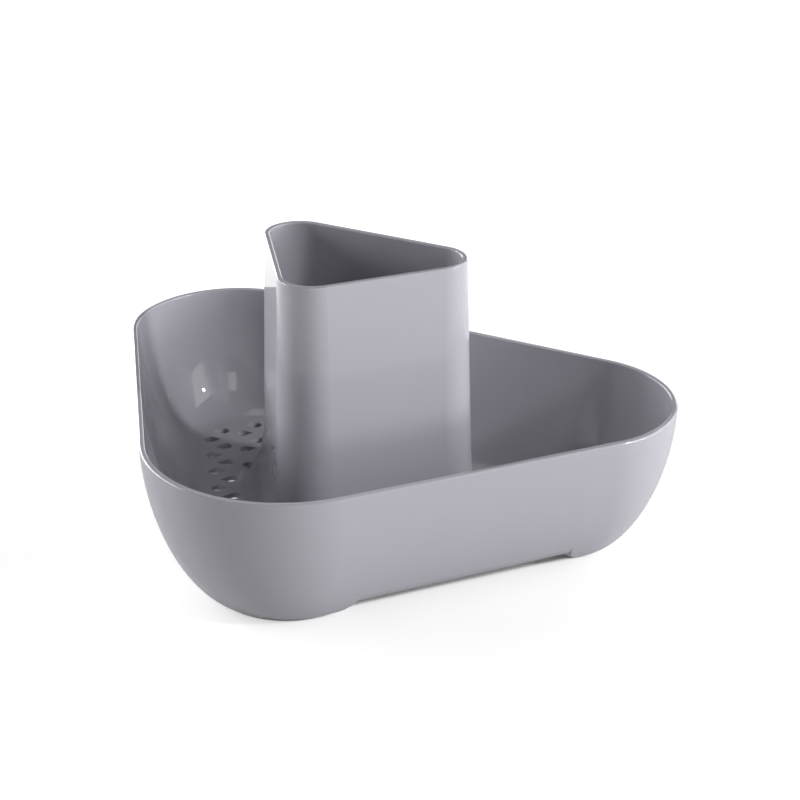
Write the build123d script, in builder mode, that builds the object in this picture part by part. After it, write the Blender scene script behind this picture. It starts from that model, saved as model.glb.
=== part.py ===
from build123d import *
import math
import os

os.makedirs("parts", exist_ok=True)

# Kitchen sink caddy, millimetres. The origin is on the worktop under the middle of
# the rim, +Z is up and +Y runs towards the long straight back wall. The rounded apex
# of the triangular plan points along -Y.

# Plan of the rim, a triangle with two equal sides and three rounded corners
rim_length = 277.0
rim_depth = 201.4
apex_corner_radius = 63.4
end_corner_radius = 48.6

# Heights above the worktop
rim_height = 70.7
tower_height = 135.2
floor_top = 8.0
foot_height = 0.8

# Walls
wall = 2.6
floor_thickness = 2.5
rim_outer_round = 0.9
rim_inner_round = 0.7

# Curve of the side walls, from the rim down to the feet
hull_inset = 29.1
hull_power = 1.935
hull_root = 1.495
apex_slide = 2.07

# Curve of the bowl inside those walls, from the rim down to the flat floor
bowl_inset = 31.6
bowl_power = 1.65
bowl_root = 2.37

# Tower for the brushes
tower_gap_sides = 61.9
tower_gap_back = 57.2
tower_corner_radius = 15.6
tower_draft = 1.9
tower_rim_round = 0.7
flare_reach = 17.5
flare_rise = 35.0
flare_sink = 0.6
bore_flare_reach = 12.0
bore_flare_rise = 36.0
bore_flare_start = 36.0

# Corner feet and the arches between them
foot_width = 11.5
foot_past_corner = 3.0
arch_end_run = 10.0
arch_join_height = 15.0
arch_overlap = 0.1

# Non-slip pads, one under each foot
pad_radius = 4.4
pad_thickness = 2.4
pad_clearance = 0.1
pad_edge_round = 0.3
pad_end_turn = 51.0

# Drain holes, shaped as drops
drop_length = 8.0
drop_radius = 2.9
drop_tip_radius = 0.5
drop_pitch = 17.6
drop_pair_pitch = 16.9
drop_pair_gap = 5.2
drop_pair_slide = 4.0
drop_half_slide = 0.4
drop_row_start = 0.2
drop_wall_gap = 36.1
drop_floor_margin = 1.3
drop_tower_gap = 11.5
drop_inner_gap = 18.5
drop_spacing = 9.8
drop_apex_gap = 7.0
drop_side_columns = 2
drop_back_columns = 1
drop_search_steps = 120

# Plug-in base of the tower, with rows and columns of drops to each side of its middle
flange_width = 1.4
flange_thickness = 1.5
lip_height = 7.0
lip_wall = 1.6
base_clearance = 0.15
base_drop_pitch = 15.0
base_drop_margin = 6.0
base_drop_rows = 1
base_drop_columns = 3

# Number of levels in each curved wall, and of samples that space them evenly
hull_levels = 12
bowl_levels = 14
flare_levels = 9
bore_levels = 6
lip_levels = 4
curve_samples = 400
sample_bunching = 3

overrun = 5.0

floor_underside = floor_top - floor_thickness
flare_top = floor_top - flare_sink + flare_rise


# Centres of the three corner arcs, shared by the rim and by every level below it
end_x = rim_length / 2 - end_corner_radius
end_y = rim_depth / 2 - end_corner_radius
apex_y = apex_corner_radius - rim_depth / 2

# Direction and distance of the two equal sides, tangent to the corner arcs
centre_span = math.hypot(end_x, end_y - apex_y)
centre_slope = math.atan2(end_y - apex_y, end_x)
side_slope = math.acos((apex_corner_radius - end_corner_radius) / centre_span) - centre_slope
side_offset = end_x * math.cos(side_slope) - end_y * math.sin(side_slope) + end_corner_radius
back_offset = rim_depth / 2

# The tower's sides run parallel to the rim's
tower_side_offset = side_offset - tower_gap_sides
tower_back_offset = back_offset - tower_gap_back
tower_end_y = tower_back_offset - tower_corner_radius
tower_end_x = tower_side_offset - tower_corner_radius + tower_end_y * math.sin(side_slope)
tower_end_x = tower_end_x / math.cos(side_slope)
tower_apex_y = (tower_corner_radius - tower_side_offset) / math.sin(side_slope)


def rim_outline(inset, slide=0):
    """Rounded triangle of the rim, drawn in by the inset, with its apex slid outwards."""
    with Locations((end_x, end_y), (-end_x, end_y)):
        Circle(end_corner_radius - inset)
    with Locations((0, apex_y - slide)):
        Circle(apex_corner_radius - inset)
    make_hull()


def tower_outline(growth):
    """Rounded triangle of the tower's top edge, let out by the growth."""
    with Locations((tower_end_x, tower_end_y), (-tower_end_x, tower_end_y)):
        Circle(tower_corner_radius + growth)
    with Locations((0, tower_apex_y)):
        Circle(tower_corner_radius + growth)
    make_hull()


def curve(share, power, root):
    """Rise of a quarter of a superellipse, from 0 at the rim to 1 at the bottom."""
    return 1 - (1 - share**power) ** (1 / root)


def even_heights(bottom, top, inset_at, levels):
    """Heights from the bottom to the top, evenly spaced along a curved wall."""
    steps = range(curve_samples + 1)
    heights = [bottom + (top - bottom) * (step / curve_samples) ** sample_bunching for step in steps]
    points = [(inset_at(height), height) for height in heights]
    lengths = [0]
    for here, there in zip(points, points[1:]):
        lengths.append(lengths[-1] + math.dist(here, there))
    chosen = []
    for level in range(levels):
        target = lengths[-1] * level / (levels - 1)
        nearest = min(steps, key=lambda step: abs(lengths[step] - target))
        chosen.append(heights[nearest])
    return chosen


def hull_share(height):
    """Share of the way from the rim down to the feet."""
    return (rim_height - height) / (rim_height - foot_height)


def hull_inset_at(height):
    """How far the outside of the side walls stands inside the rim."""
    return hull_inset * curve(hull_share(height), hull_power, hull_root)


def apex_slide_at(height):
    """How far the apex of the side walls stands forward of an even inset."""
    return apex_slide * hull_inset_at(height) / hull_inset


def bowl_inset_at(height):
    """How far the inside of the bowl stands inside the rim."""
    share = (rim_height - height) / (rim_height - floor_top)
    return wall + (bowl_inset - wall) * curve(share, bowl_power, bowl_root)


def draft_growth(height):
    """Growth of the tower from its top down to a height, from its draft alone."""
    return (tower_height - height) * math.tan(math.radians(tower_draft))


def flare(share, reach):
    """Extra growth along a quarter of an ellipse."""
    return reach * (1 - math.sqrt(1 - share**2))


def root_growth(height):
    """Growth of the tower's outside at a height, with its flare near the floor."""
    share = (flare_top - height) / flare_rise
    return draft_growth(height) + flare(share, flare_reach)


def bore_growth(height):
    """Growth of the tower's bore at a height, with its flare near the floor."""
    share = max(0, (bore_flare_start - height) / bore_flare_rise)
    return draft_growth(height) + flare(share, bore_flare_reach) - wall


# The hull's slope where the arches' rounding meets it
slope_step = wall / 100
join_inset = hull_inset_at(arch_join_height)
join_run = hull_inset_at(arch_join_height - slope_step) - join_inset
join_angle = math.atan2(slope_step, join_run)
join_rise = arch_join_height - floor_underside
arch_flat_inset = join_inset + join_rise * (1 / math.tan(join_angle) + 1 / math.sin(join_angle))

# How far the apex's slide carries a side outwards at that height, at its apex end
join_slide = apex_slide_at(arch_join_height) * math.sin(side_slope)


def arch_points(offset, drop):
    """Corners of what an arch cuts away, seen along the side wall."""
    shift = -arch_overlap
    if drop > 0:
        shift = arch_flat_inset - hull_inset
    inside = (offset - hull_inset - foot_width - overrun, floor_underside - drop)
    flat = (offset - arch_flat_inset + shift, floor_underside - drop)
    join = (offset - join_inset + shift, arch_join_height - drop)
    outside = (offset + overrun, arch_join_height - drop)
    return inside, flat, join, outside


def arch_stations(start, end):
    """Places along one side wall of an arch's sections, with their drops."""
    full_drop = floor_underside - foot_height
    return (
        (start + foot_past_corner, full_drop),
        (start + foot_past_corner + arch_end_run, 0),
        (end - foot_past_corner - arch_end_run, 0),
        (end - foot_past_corner, full_drop),
    )


def along(angle, x, y):
    """Distance of a point along the side whose outward direction has this angle."""
    return y * math.cos(angle) - x * math.sin(angle)


# Each side's outward direction, distance from the origin, and first and last arc centre
right_angle = -side_slope
left_angle = math.pi + side_slope
back_angle = math.pi / 2
sides = (
    (right_angle, side_offset, (0, apex_y), (end_x, end_y)),
    (back_angle, back_offset, (end_x, end_y), (-end_x, end_y)),
    (left_angle, side_offset, (-end_x, end_y), (0, apex_y)),
)


def depth_inside(x, y, circles):
    """Depth of a point inside the hull of some circles, negative outside it."""
    depths = []
    for step in range(drop_search_steps):
        turn = 2 * math.pi * step / drop_search_steps
        reach = max(cx * math.cos(turn) + cy * math.sin(turn) + r for cx, cy, r in circles)
        depths.append(reach - x * math.cos(turn) - y * math.sin(turn))
    return min(depths)


rim_circles = (
    (end_x, end_y, end_corner_radius),
    (-end_x, end_y, end_corner_radius),
    (0, apex_y, apex_corner_radius),
)
tower_foot_radius = tower_corner_radius + draft_growth(floor_top)
tower_circles = (
    (tower_end_x, tower_end_y, tower_foot_radius),
    (-tower_end_x, tower_end_y, tower_foot_radius),
    (0, tower_apex_y, tower_foot_radius),
)


def is_clear(x, y, tower_gap, places):
    """True where a drain hole is on the open floor and apart from the others."""
    if depth_inside(x, y, rim_circles) < bowl_inset + drop_floor_margin:
        return False
    if depth_inside(x, y, tower_circles) > -tower_gap:
        return False
    return all(math.hypot(x - px, y - py) > drop_spacing for px, py, turn in places)


def side_drops(places):
    """Drain holes along the left side, each with its twin along the right side."""
    first = along(left_angle, -end_x, end_y)
    last = along(left_angle, 0, apex_y) - drop_apex_gap
    rows = int((last - first) / drop_pitch) + 2
    for column in range(drop_side_columns):
        for row in range(-1, rows):
            for half in (0, 1):
                inset = drop_wall_gap + column * drop_pair_pitch + half * drop_pair_gap
                reach = side_offset - inset
                run = first + drop_row_start + row * drop_pitch
                run = run - half * (drop_pitch / 2 - drop_half_slide) - column * drop_pair_slide
                x = reach * math.cos(left_angle) - run * math.sin(left_angle)
                y = reach * math.sin(left_angle) + run * math.cos(left_angle)
                tower_gap = drop_inner_gap if column * half else drop_tower_gap
                if run <= last and is_clear(x, y, tower_gap, places):
                    inward = math.degrees(left_angle) + 180
                    places.append((x, y, inward + 180 * half))
                    places.append((-x, y, 180 - inward - 180 * half))


def back_drops(places):
    """Drain holes along the back, in the space that the side rows leave."""
    rows = int(end_x / drop_pitch)
    for column in range(drop_back_columns):
        for row in range(-rows, rows + 1):
            for half in (0, 1):
                x = (row + half / 2) * drop_pitch
                y = back_offset - drop_wall_gap - column * drop_pair_pitch - half * drop_pair_gap
                if is_clear(x, y, drop_tower_gap, places):
                    places.append((x, y, 180 * half - 90))


drop_places = []
side_drops(drop_places)
back_drops(drop_places)
print("drain holes in the floor", len(drop_places))

with BuildSketch() as drop:
    Circle(drop_radius)
    with Locations((drop_length - drop_radius - drop_tip_radius, 0)):
        Circle(drop_tip_radius)
    make_hull()
drop_middle = drop_length / 2 - drop_radius


def drop_sketch(places):
    """Drops centred on their places, with their tips turned to the given angles."""
    for x, y, turn in places:
        with Locations(Location((x, y, 0), (0, 0, turn))):
            with Locations((-drop_middle, 0)):
                add(drop.sketch)


# Pads under the feet, halfway across each foot
pad_reach_apex = apex_corner_radius - hull_inset - foot_width / 2 + apex_slide
pad_reach_end = end_corner_radius - hull_inset - foot_width / 2
pad_end_x = end_x + pad_reach_end * math.cos(math.radians(pad_end_turn))
pad_end_y = end_y + pad_reach_end * math.sin(math.radians(pad_end_turn))
pad_places = {
    "foot_pad_apex": (0, apex_y - pad_reach_apex),
    "foot_pad_right": (pad_end_x, pad_end_y),
    "foot_pad_left": (-pad_end_x, pad_end_y),
}

# Body: side walls, floor with drain holes, tower and feet in one moulding
with BuildPart() as caddy_body:
    for level in even_heights(foot_height, rim_height, hull_inset_at, hull_levels):
        with BuildSketch(Plane.XY.offset(level)):
            rim_outline(hull_inset_at(level), apex_slide_at(level))
    loft()
    rim_edges = caddy_body.faces().sort_by(Axis.Z)[-1].edges()
    fillet(rim_edges, rim_outer_round)

    # arches between the feet
    for angle, offset, first, last in sides:
        start = along(angle, *first)
        end = along(angle, *last)
        outward = Vector(math.cos(angle), math.sin(angle), 0)
        forward = Vector(-math.sin(angle), math.cos(angle), 0)
        for place, drop_down in arch_stations(start, end):
            y = first[1] + (last[1] - first[1]) * (place - start) / (end - start)
            slid = join_slide * (end_y - y) / (end_y - apex_y)
            inside, flat, join, outside = arch_points(offset + slid, drop_down)
            with BuildSketch(Plane(forward * place, x_dir=outward, z_dir=-forward)):
                with BuildLine():
                    Line(inside, flat)
                    TangentArc(flat, join, tangent=(1, 0))
                    Polyline(join, outside, (outside[0], -overrun), (inside[0], -overrun), inside)
                make_face()
        loft(ruled=True, mode=Mode.SUBTRACT)

    # hollow underside inside the feet
    with BuildSketch(Plane.XY):
        rim_outline(hull_inset + foot_width, apex_slide)
    extrude(amount=floor_underside, mode=Mode.SUBTRACT)

    # bowl
    for level in even_heights(floor_top, rim_height, bowl_inset_at, bowl_levels):
        with BuildSketch(Plane.XY.offset(level)):
            rim_outline(bowl_inset_at(level))
    loft(mode=Mode.SUBTRACT)
    rim_top = caddy_body.faces().filter_by(Axis.Z).sort_by(Axis.Z)[-1]
    fillet(rim_top.inner_wires()[0].edges(), rim_inner_round)

    # tower with its flared root
    for level in (flare_top, tower_height):
        with BuildSketch(Plane.XY.offset(level)):
            tower_outline(draft_growth(level))
    loft(ruled=True)
    for level in even_heights(flare_top - flare_rise, flare_top, root_growth, flare_levels):
        with BuildSketch(Plane.XY.offset(level)):
            tower_outline(root_growth(level))
    loft()

    # bore of the tower, open at both ends
    for level in (bore_flare_start, tower_height):
        with BuildSketch(Plane.XY.offset(level)):
            tower_outline(draft_growth(level) - wall)
    loft(ruled=True, mode=Mode.SUBTRACT)
    bore_bottom = floor_underside + flange_thickness / 2
    for level in even_heights(bore_bottom, bore_flare_start, bore_growth, bore_levels):
        with BuildSketch(Plane.XY.offset(level)):
            tower_outline(bore_growth(level))
    loft(mode=Mode.SUBTRACT)
    with BuildSketch(Plane.XY.offset(floor_underside)):
        tower_outline(bore_growth(floor_underside + flange_thickness) + flange_width)
    extrude(amount=flange_thickness, mode=Mode.SUBTRACT)
    tower_top = caddy_body.faces().filter_by(Axis.Z).sort_by(Axis.Z)[-1]
    fillet(tower_top.edges(), tower_rim_round)

    # drain holes
    with BuildSketch(Plane.XY):
        drop_sketch(drop_places)
    extrude(amount=floor_top + overrun, mode=Mode.SUBTRACT)

    # recesses for the pads
    with BuildSketch(Plane.XY):
        with Locations(*pad_places.values()):
            Circle(pad_radius + pad_clearance)
    extrude(amount=pad_thickness, mode=Mode.SUBTRACT)
caddy_body.part.label = "caddy_body"
export_step(caddy_body.part, "parts/caddy_body.step")

# Base of the tower: a plate that plugs into the bore from below, with a raised lip
lip_top = floor_top + lip_height
base_circles = [(x, y, tower_corner_radius) for x, y, r in tower_circles]
base_drops = []
for row in range(-base_drop_rows, base_drop_rows + 1):
    for column in range(-base_drop_columns, base_drop_columns + 1):
        x = (column + abs(row) / 2) * base_drop_pitch
        y = row * base_drop_pitch * math.sin(math.pi / 3) + base_drop_pitch / 2
        if depth_inside(x, y, base_circles) > base_drop_margin:
            base_drops.append((x, y, 90))
print("drain holes in the tower's base", len(base_drops))

with BuildPart() as tower_base:
    seat = floor_underside + flange_thickness
    with BuildSketch(Plane.XY.offset(floor_underside)):
        tower_outline(bore_growth(seat) + flange_width - base_clearance)
    extrude(amount=flange_thickness)
    for level in even_heights(seat, lip_top, bore_growth, lip_levels):
        with BuildSketch(Plane.XY.offset(level)):
            tower_outline(bore_growth(level) - base_clearance)
    loft()
    with BuildSketch(Plane.XY.offset(floor_top)):
        tower_outline(bore_growth(lip_top) - base_clearance - lip_wall)
    extrude(amount=lip_height, mode=Mode.SUBTRACT)
    with BuildSketch(Plane.XY.offset(floor_underside)):
        drop_sketch(base_drops)
    extrude(amount=floor_thickness, mode=Mode.SUBTRACT)
tower_base.part.label = "tower_base"
export_step(tower_base.part, "parts/tower_base.step")

# Pads: soft discs that stand a little below the feet
for name, place in pad_places.items():
    with BuildPart() as foot_pad:
        with BuildSketch(Plane.XY):
            with Locations(place):
                Circle(pad_radius)
        extrude(amount=pad_thickness)
        fillet(foot_pad.faces().sort_by(Axis.Z)[0].edges(), pad_edge_round)
    foot_pad.part.label = name
    export_step(foot_pad.part, f"parts/{name}.step")
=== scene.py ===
"""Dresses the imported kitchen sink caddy: one glossy grey moulding on three soft pads."""

import math

import bpy
from bpy.props import FloatProperty, FloatVectorProperty, PointerProperty
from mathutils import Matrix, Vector

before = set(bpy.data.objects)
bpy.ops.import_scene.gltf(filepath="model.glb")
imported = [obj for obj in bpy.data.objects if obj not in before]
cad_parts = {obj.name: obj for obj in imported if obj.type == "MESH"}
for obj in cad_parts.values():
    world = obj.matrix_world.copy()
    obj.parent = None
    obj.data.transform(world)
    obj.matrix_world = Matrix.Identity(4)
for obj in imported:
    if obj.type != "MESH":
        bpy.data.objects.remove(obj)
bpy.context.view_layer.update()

bl_info = {
    "name": "Kitchen Sink Caddy",
    "version": (1, 0, 0),
    "blender": (4, 5, 0),
    "location": "View3D > Sidebar > Caddy",
    "description": "Builds the finished look of a moulded kitchen sink caddy and its studio",
    "category": "Object",
}

MILLIMETRE = 0.001

PAD_NODES = ("foot_pad_apex", "foot_pad_left", "foot_pad_right")

# Plastic. Each noise is its scale in cycles a metre and its detail.
FLOW_NOISE = (14, 3)
FLOW_CHANGE = 0.03
GLOSS_NOISE = (260, 4)
GLOSS_CHANGE = 0.2
SKIN_NOISE = (25, 1)
SKIN_BUMP_STRENGTH = 0.02
SKIN_BUMP_DEPTH = 0.1 * MILLIMETRE
PLASTIC_IOR = 1.5

# Rubber
GRAIN_NOISE = (1800, 3)
GRAIN_CHANGE = 0.15
RUBBER_ROUGHNESS = (0.6, 0.8)
GRAIN_BUMP_STRENGTH = 0.3
GRAIN_BUMP_DEPTH = 0.05 * MILLIMETRE

# Floor
FLOOR_COLOR = (0.65, 0.65, 0.65, 1)
FLOOR_ROUGHNESS = 0.9

# Distances from the caddy's middle over which the floor's own light dies away
FAR_FLOOR_START = 0.8
FAR_FLOOR_WHITE = 2.0

# Painted shade under the caddy, where the floor's camera lift is held off. The shade's edge has
# four straight sides on the right half of the plan, each with its outward normal and its
# distance
# from the origin: the side wall's, the back wall's and two that end the shade inside the front
# foot and the right foot.
SIDE_TURN = math.radians(38.7)
SHADE_SIDES = (
    ((math.cos(SIDE_TURN), -math.sin(SIDE_TURN), 0), 0.0562),
    ((0, 1, 0), 0.07),
    ((0, -1, 0), 0.06),
    ((1, 0, 0), 0.099),
)
SHADE_DEPTH = 0.009
SHADE_BLUR = 0.0012

# The round painted shades under the front foot and the right foot: centre and radius
FOOT_SHADES = (((0, -0.0394, 0), 0.0348), ((0.0899, 0.0521, 0), 0.0202))
FOOT_BLUR = 0.0005

# Lamps by name: azimuth, elevation, width and height as seen from the caddy, in degrees, and
# brightness, where 1 is a sheet of white paper in full light
LAMPS = {
    "key": (1.3, 27.3, 4.5, 4.5, 340.0),
    "right strip": (10, 4, 20, 8, 25.0),
    "right back strip": (30, 4, 20, 8, 9.0),
    "right panel": (15, 24, 90, 32, 2.3),
    "front right panel": (310, 30, 20, 20, 1.9),
    "left strip": (177, 4, 74, 8, 12.5),
    "left panel": (180, 18, 80, 20, 8.0),
    "back panel": (75, 30, 20, 20, 4.8),
    "low back panel": (100, 10, 30, 20, 3.4),
    "overhead panel": (180, 62, 60, 24, 1.3),
}
ROUND_LAMPS = ("key",)
LAMP_DISTANCE = 2.0
LAMP_TARGET = Vector((0, 0, 0.06))

# The photograph's camera
CAMERA_PLACE = (0.3415, -0.5610, 0.3807)
CAMERA_TILT = math.radians(64.72)
CAMERA_TURN = math.radians(28.775)
SENSOR_WIDTH = 36


class CaddyFinish(bpy.types.PropertyGroup):
    """Colours and gloss of the caddy's plastic and rubber."""

    shell_color: FloatVectorProperty(
        name="Shell colour",
        description="Colour of the moulded body and of the tower's base",
        subtype="COLOR",
        size=3,
        min=0,
        max=1,
        default=(0.36, 0.355, 0.395),
    )
    shell_roughness: FloatProperty(
        name="Shell roughness",
        description="How far the polished walls blur a reflection",
        subtype="FACTOR",
        min=0,
        max=1,
        default=0.025,
    )
    pad_color: FloatVectorProperty(
        name="Pad colour",
        description="Colour of the non-slip pads under the feet",
        subtype="COLOR",
        size=3,
        min=0,
        max=1,
        default=(0.12, 0.12, 0.13),
    )


class CaddyStage(bpy.types.PropertyGroup):
    """Studio round the caddy."""

    floor_reach: FloatProperty(
        name="Floor reach",
        description="Half the width of the floor",
        subtype="DISTANCE",
        unit="LENGTH",
        default=6.0,
    )
    floor_lift: FloatProperty(
        name="Floor lift",
        description="How much brighter than its own light the floor looks to the camera",
        min=0,
        default=0.5,
    )
    # Painted reflection: the floor glows for glossy rays only, nothing near the caddy as painted
    # shade and rising to full between the start and full distances
    painted_reflection: FloatProperty(
        name="Mirrored floor",
        description="Brightness of the far floor in the caddy's gloss, 1 for white",
        min=0,
        default=0.5,
    )
    painted_reflection_start: FloatProperty(
        name="Mirrored floor start",
        description="Distance from the middle at which the mirrored floor starts to brighten",
        subtype="DISTANCE",
        unit="LENGTH",
        default=0.24,
    )
    painted_reflection_full: FloatProperty(
        name="Mirrored floor full",
        description="Distance from the middle at which the mirrored floor is at its brightest",
        subtype="DISTANCE",
        unit="LENGTH",
        default=0.4,
    )
    lens: FloatProperty(
        name="Lens",
        description="Focal length of the camera, in millimetres",
        default=73.64,
    )


class CADDY_OT_body(bpy.types.Operator):
    """Give the moulded body its polished plastic."""

    bl_idname = "caddy.body"
    bl_label = "Caddy Body"

    def execute(self, context):
        dress("caddy_body", shell_plastic(context.scene.caddy_finish))
        return {"FINISHED"}


class CADDY_OT_tower_base(bpy.types.Operator):
    """Give the plug-in base of the tower the body's plastic."""

    bl_idname = "caddy.tower_base"
    bl_label = "Tower Base"

    def execute(self, context):
        dress("tower_base", shell_plastic(context.scene.caddy_finish))
        return {"FINISHED"}


class CADDY_OT_foot_pads(bpy.types.Operator):
    """Give the pads under the feet their rubber."""

    bl_idname = "caddy.foot_pads"
    bl_label = "Foot Pads"

    def execute(self, context):
        for name in PAD_NODES:
            dress(name, pad_rubber(context.scene.caddy_finish))
        return {"FINISHED"}


class CADDY_OT_stage(bpy.types.Operator):
    """Lay the floor, hang the lamps and set up the camera."""

    bl_idname = "caddy.stage"
    bl_label = "Stage"

    def execute(self, context):
        settings = context.scene.caddy_stage
        lay_floor(settings)
        light_studio(context.scene)
        set_camera(context.scene, settings)
        return {"FINISHED"}


class CADDY_PT_sidebar(bpy.types.Panel):
    """List the caddy's pieces and its studio."""

    bl_label = "Kitchen Sink Caddy"
    bl_idname = "CADDY_PT_sidebar"
    bl_space_type = "VIEW_3D"
    bl_region_type = "UI"
    bl_category = "Caddy"

    def draw(self, context):
        column = self.layout.column()
        for name in ("shell_color", "shell_roughness", "pad_color"):
            column.prop(context.scene.caddy_finish, name)
        for name in ("floor_reach", "floor_lift", "painted_reflection", "painted_reflection_start", "painted_reflection_full", "lens"):
            column.prop(context.scene.caddy_stage, name)
        for operator in OPERATORS:
            column.operator(operator.bl_idname)


OPERATORS = (CADDY_OT_body, CADDY_OT_tower_base, CADDY_OT_foot_pads, CADDY_OT_stage)
CLASSES = (CaddyFinish, CaddyStage, *OPERATORS, CADDY_PT_sidebar)


def new_material(name):
    """A node material with its shader and its output."""
    material = bpy.data.materials.new(name)
    material.use_nodes = True
    nodes = material.node_tree.nodes
    nodes.clear()
    output = nodes.new("ShaderNodeOutputMaterial")
    shader = nodes.new("ShaderNodeBsdfPrincipled")
    material.node_tree.links.new(shader.outputs["BSDF"], output.inputs["Surface"])
    return material, shader, output


def noise(material, scale, detail):
    """Noise on Object coordinates, with scale in cycles a metre."""
    nodes = material.node_tree.nodes
    place = nodes.new("ShaderNodeTexCoord")
    texture = nodes.new("ShaderNodeTexNoise")
    texture.inputs["Scale"].default_value = scale
    texture.inputs["Detail"].default_value = detail
    material.node_tree.links.new(place.outputs["Object"], texture.inputs["Vector"])
    return texture.outputs["Fac"]


def ramp(material, source, start, end, low=0, high=1):
    """Maps a value from one range to another and holds it at both ends."""
    node = material.node_tree.nodes.new("ShaderNodeMapRange")
    node.inputs["From Min"].default_value = start
    node.inputs["From Max"].default_value = end
    node.inputs["To Min"].default_value = low
    node.inputs["To Max"].default_value = high
    material.node_tree.links.new(source, node.inputs["Value"])
    return node.outputs["Result"]


def calculate(material, operation, *values):
    """A sum on other nodes' outputs and plain numbers."""
    node = material.node_tree.nodes.new("ShaderNodeMath")
    node.operation = operation
    for value, socket in zip(values, node.inputs):
        if isinstance(value, bpy.types.NodeSocket):
            material.node_tree.links.new(value, socket)
        else:
            socket.default_value = value
    return node.outputs["Value"]


def measure(material, operation, place, vector=(0, 0, 0)):
    """A length, a distance or a dot product of a place."""
    node = material.node_tree.nodes.new("ShaderNodeVectorMath")
    node.operation = operation
    node.inputs[1].default_value = vector
    material.node_tree.links.new(place, node.inputs[0])
    return node.outputs["Value"]


def tint(material, shader, source, color, change):
    """Colours a shader a little darker and a little lighter by a value from 0 to 1."""
    links = material.node_tree.links
    mix = material.node_tree.nodes.new("ShaderNodeMix")
    mix.data_type = "RGBA"
    mix.inputs["A"].default_value = (*((1 - change) * c for c in color), 1)
    mix.inputs["B"].default_value = (*((1 + change) * c for c in color), 1)
    links.new(source, mix.inputs["Factor"])
    links.new(mix.outputs["Result"], shader.inputs["Base Color"])


def emboss(material, shader, source, strength, depth):
    """Gives a shader bumps from a value from 0 to 1."""
    links = material.node_tree.links
    bump = material.node_tree.nodes.new("ShaderNodeBump")
    bump.inputs["Strength"].default_value = strength
    bump.inputs["Distance"].default_value = depth
    links.new(source, bump.inputs["Height"])
    links.new(bump.outputs["Normal"], shader.inputs["Normal"])


def shell_plastic(finish):
    """Polished injection-moulded plastic with faint flow marks."""
    name = "polished grey plastic"
    if name in bpy.data.materials:
        return bpy.data.materials[name]
    material, shader, _ = new_material(name)
    tint(material, shader, noise(material, *FLOW_NOISE), finish.shell_color, FLOW_CHANGE)
    dullest = (1 + GLOSS_CHANGE) * finish.shell_roughness
    glossiest = (1 - GLOSS_CHANGE) * finish.shell_roughness
    gloss = ramp(material, noise(material, *GLOSS_NOISE), 0, 1, glossiest, dullest)
    material.node_tree.links.new(gloss, shader.inputs["Roughness"])
    skin = noise(material, *SKIN_NOISE)
    emboss(material, shader, skin, SKIN_BUMP_STRENGTH, SKIN_BUMP_DEPTH)
    shader.inputs["IOR"].default_value = PLASTIC_IOR
    return material


def pad_rubber(finish):
    """Dark matte rubber with a fine grain."""
    name = "dark pad rubber"
    if name in bpy.data.materials:
        return bpy.data.materials[name]
    material, shader, _ = new_material(name)
    grain = noise(material, *GRAIN_NOISE)
    tint(material, shader, grain, finish.pad_color, GRAIN_CHANGE)
    roughness = ramp(material, grain, 0, 1, *RUBBER_ROUGHNESS)
    material.node_tree.links.new(roughness, shader.inputs["Roughness"])
    emboss(material, shader, grain, GRAIN_BUMP_STRENGTH, GRAIN_BUMP_DEPTH)
    return material


def dress(node, material):
    """Puts a material on a CAD node."""
    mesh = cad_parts[node].data
    mesh.materials.clear()
    mesh.materials.append(material)


def fold(material, place):
    """The left half of the plan laid over the right half."""
    nodes = material.node_tree.nodes
    links = material.node_tree.links
    plan = nodes.new("ShaderNodeSeparateXYZ")
    links.new(place, plan.inputs["Vector"])
    folded = nodes.new("ShaderNodeCombineXYZ")
    links.new(calculate(material, "ABSOLUTE", plan.outputs["X"]), folded.inputs["X"])
    links.new(plan.outputs["Y"], folded.inputs["Y"])
    return folded.outputs["Vector"]


def beside_caddy(material, place):
    """0 in the painted shade under the caddy's arches and feet and 1 elsewhere on the floor."""
    folded = fold(material, place)
    past = []
    for normal, reach in SHADE_SIDES:
        across = measure(material, "DOT_PRODUCT", folded, normal)
        past.append(calculate(material, "SUBTRACT", across, reach))
    outermost = past[0]
    for side in past[1:]:
        outermost = calculate(material, "MAXIMUM", outermost, side)
    outside = ramp(material, outermost, -SHADE_BLUR, SHADE_BLUR)
    inside = ramp(material, outermost, SHADE_BLUR - SHADE_DEPTH, -SHADE_BLUR - SHADE_DEPTH)
    beside = calculate(material, "MAXIMUM", outside, inside)
    for centre, radius in FOOT_SHADES:
        away = measure(material, "DISTANCE", folded, centre)
        foot = ramp(material, away, radius - FOOT_BLUR, radius + FOOT_BLUR)
        beside = calculate(material, "MULTIPLY", beside, foot)
    return beside


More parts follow.
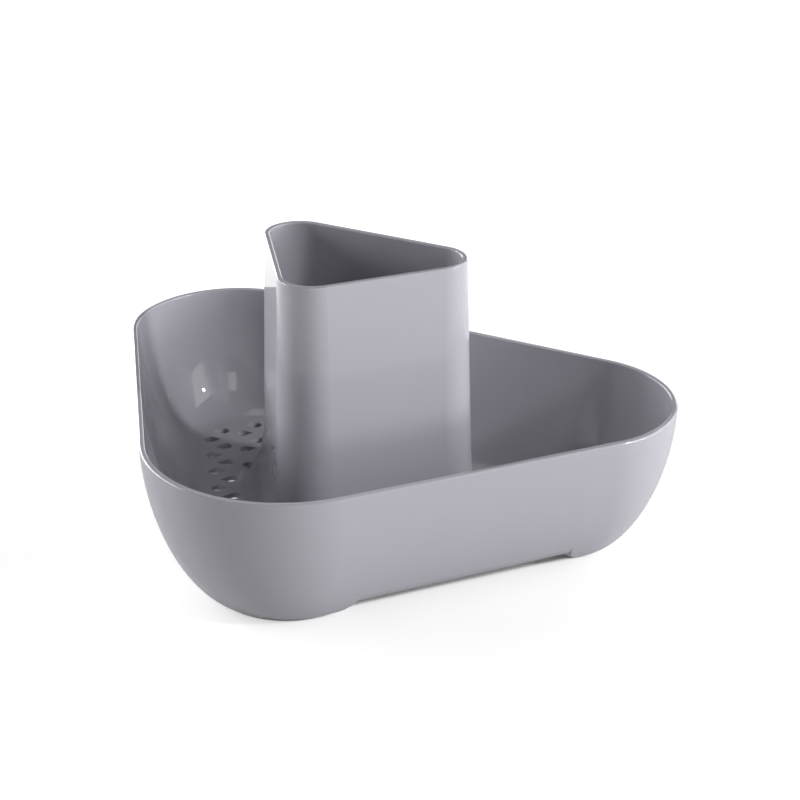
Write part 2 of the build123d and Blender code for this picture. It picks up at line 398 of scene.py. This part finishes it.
def lay_floor(settings):
    """A wide white floor that keeps the caddy's shadow, has painted shade under its arches and
    feet and a painted reflection glow for the caddy's gloss, and is clear from below.
    """
    bpy.ops.object.select_all(action="DESELECT")
    bpy.ops.mesh.primitive_plane_add(size=2 * settings.floor_reach, location=(0, 0, 0))
    floor = bpy.context.object
    floor.name = "floor"
    material, shader, output = new_material("white floor")
    material.cycles.emission_sampling = "NONE"
    shader.inputs["Base Color"].default_value = FLOOR_COLOR
    shader.inputs["Roughness"].default_value = FLOOR_ROUGHNESS
    nodes = material.node_tree.nodes
    links = material.node_tree.links
    path = nodes.new("ShaderNodeLightPath")
    place = nodes.new("ShaderNodeTexCoord").outputs["Object"]
    reach = measure(material, "LENGTH", place)

    # Painted reflection: the floor glows for glossy rays only, faded to nothing near the caddy
    # as painted shade; and what lifts the floor to white for the camera
    painted_reflection = ramp(material, reach, settings.painted_reflection_start, settings.painted_reflection_full, 0, settings.painted_reflection)
    painted_reflection_in_gloss = calculate(material, "MULTIPLY", path.outputs["Is Glossy Ray"], painted_reflection)
    # Painted shade: the camera lift is held off under the caddy's arches and feet
    beside = beside_caddy(material, place)
    lifted = calculate(material, "MULTIPLY", path.outputs["Is Camera Ray"], beside)
    lift = ramp(material, reach, FAR_FLOOR_START, FAR_FLOOR_WHITE, settings.floor_lift, 1)
    emission = nodes.new("ShaderNodeEmission")
    strength = calculate(material, "MULTIPLY_ADD", lifted, lift, painted_reflection_in_gloss)
    links.new(strength, emission.inputs["Strength"])

    top = nodes.new("ShaderNodeAddShader")
    links.new(shader.outputs["BSDF"], top.inputs[0])
    links.new(emission.outputs["Emission"], top.inputs[1])
    facing = nodes.new("ShaderNodeNewGeometry")
    clear = nodes.new("ShaderNodeBsdfTransparent")
    one_way = nodes.new("ShaderNodeMixShader")
    links.new(facing.outputs["Backfacing"], one_way.inputs["Fac"])
    links.new(top.outputs["Shader"], one_way.inputs[1])
    links.new(clear.outputs["BSDF"], one_way.inputs[2])
    links.new(one_way.outputs["Shader"], output.inputs["Surface"])
    floor.data.materials.append(material)


def add_lamp(name, azimuth, elevation, width, height, brightness):
    """A soft box or a round lamp that faces the caddy, placed by its direction from it."""
    turn, rise = math.radians(azimuth), math.radians(elevation)
    across = math.cos(rise)
    away = Vector((math.cos(turn) * across, math.sin(turn) * across, math.sin(rise)))
    data = bpy.data.lights.new(name, "AREA")
    data.size = 2 * LAMP_DISTANCE * math.tan(math.radians(width / 2)) * across
    data.size_y = 2 * LAMP_DISTANCE * math.tan(math.radians(height / 2))
    if name in ROUND_LAMPS:
        data.shape = "DISK"
        area = math.pi * data.size**2 / 4
    else:
        data.shape = "RECTANGLE"
        area = data.size * data.size_y
    data.energy = math.pi * area * brightness
    lamp = bpy.data.objects.new(name, data)
    lamp.visible_camera = False
    lamp.location = LAMP_TARGET + away * LAMP_DISTANCE
    lamp.rotation_euler = away.to_track_quat("Z", "Y").to_euler()
    bpy.context.scene.collection.objects.link(lamp)


def light_studio(scene):
    """Soft boxes at both sides, a small key lamp on the right and a room white to the camera."""
    for name, values in LAMPS.items():
        add_lamp(name, *values)
    world = bpy.data.worlds.new("studio room")
    world.use_nodes = True
    nodes = world.node_tree.nodes
    background = next(n for n in nodes if n.type == "BACKGROUND")
    background.inputs["Color"].default_value = (1, 1, 1, 1)
    path = nodes.new("ShaderNodeLightPath")
    world.node_tree.links.new(path.outputs["Is Camera Ray"], background.inputs["Strength"])
    scene.world = world
    scene.view_settings.view_transform = "Standard"


def set_camera(scene, settings):
    """Camera at the photograph's angle."""
    data = bpy.data.cameras.new("camera")
    data.lens = settings.lens
    data.sensor_width = SENSOR_WIDTH
    camera = bpy.data.objects.new("camera", data)
    camera.location = CAMERA_PLACE
    camera.rotation_euler = (CAMERA_TILT, 0, CAMERA_TURN)
    scene.collection.objects.link(camera)
    scene.camera = camera


def register():
    for item in CLASSES:
        bpy.utils.register_class(item)
    bpy.types.Scene.caddy_finish = PointerProperty(type=CaddyFinish)
    bpy.types.Scene.caddy_stage = PointerProperty(type=CaddyStage)


def unregister():
    del bpy.types.Scene.caddy_stage
    del bpy.types.Scene.caddy_finish
    for item in reversed(CLASSES):
        bpy.utils.unregister_class(item)


def main():
    register()
    bpy.ops.caddy.body()
    bpy.ops.caddy.tower_base()
    bpy.ops.caddy.foot_pads()
    bpy.ops.caddy.stage()


if __name__ == "__main__":
    main()
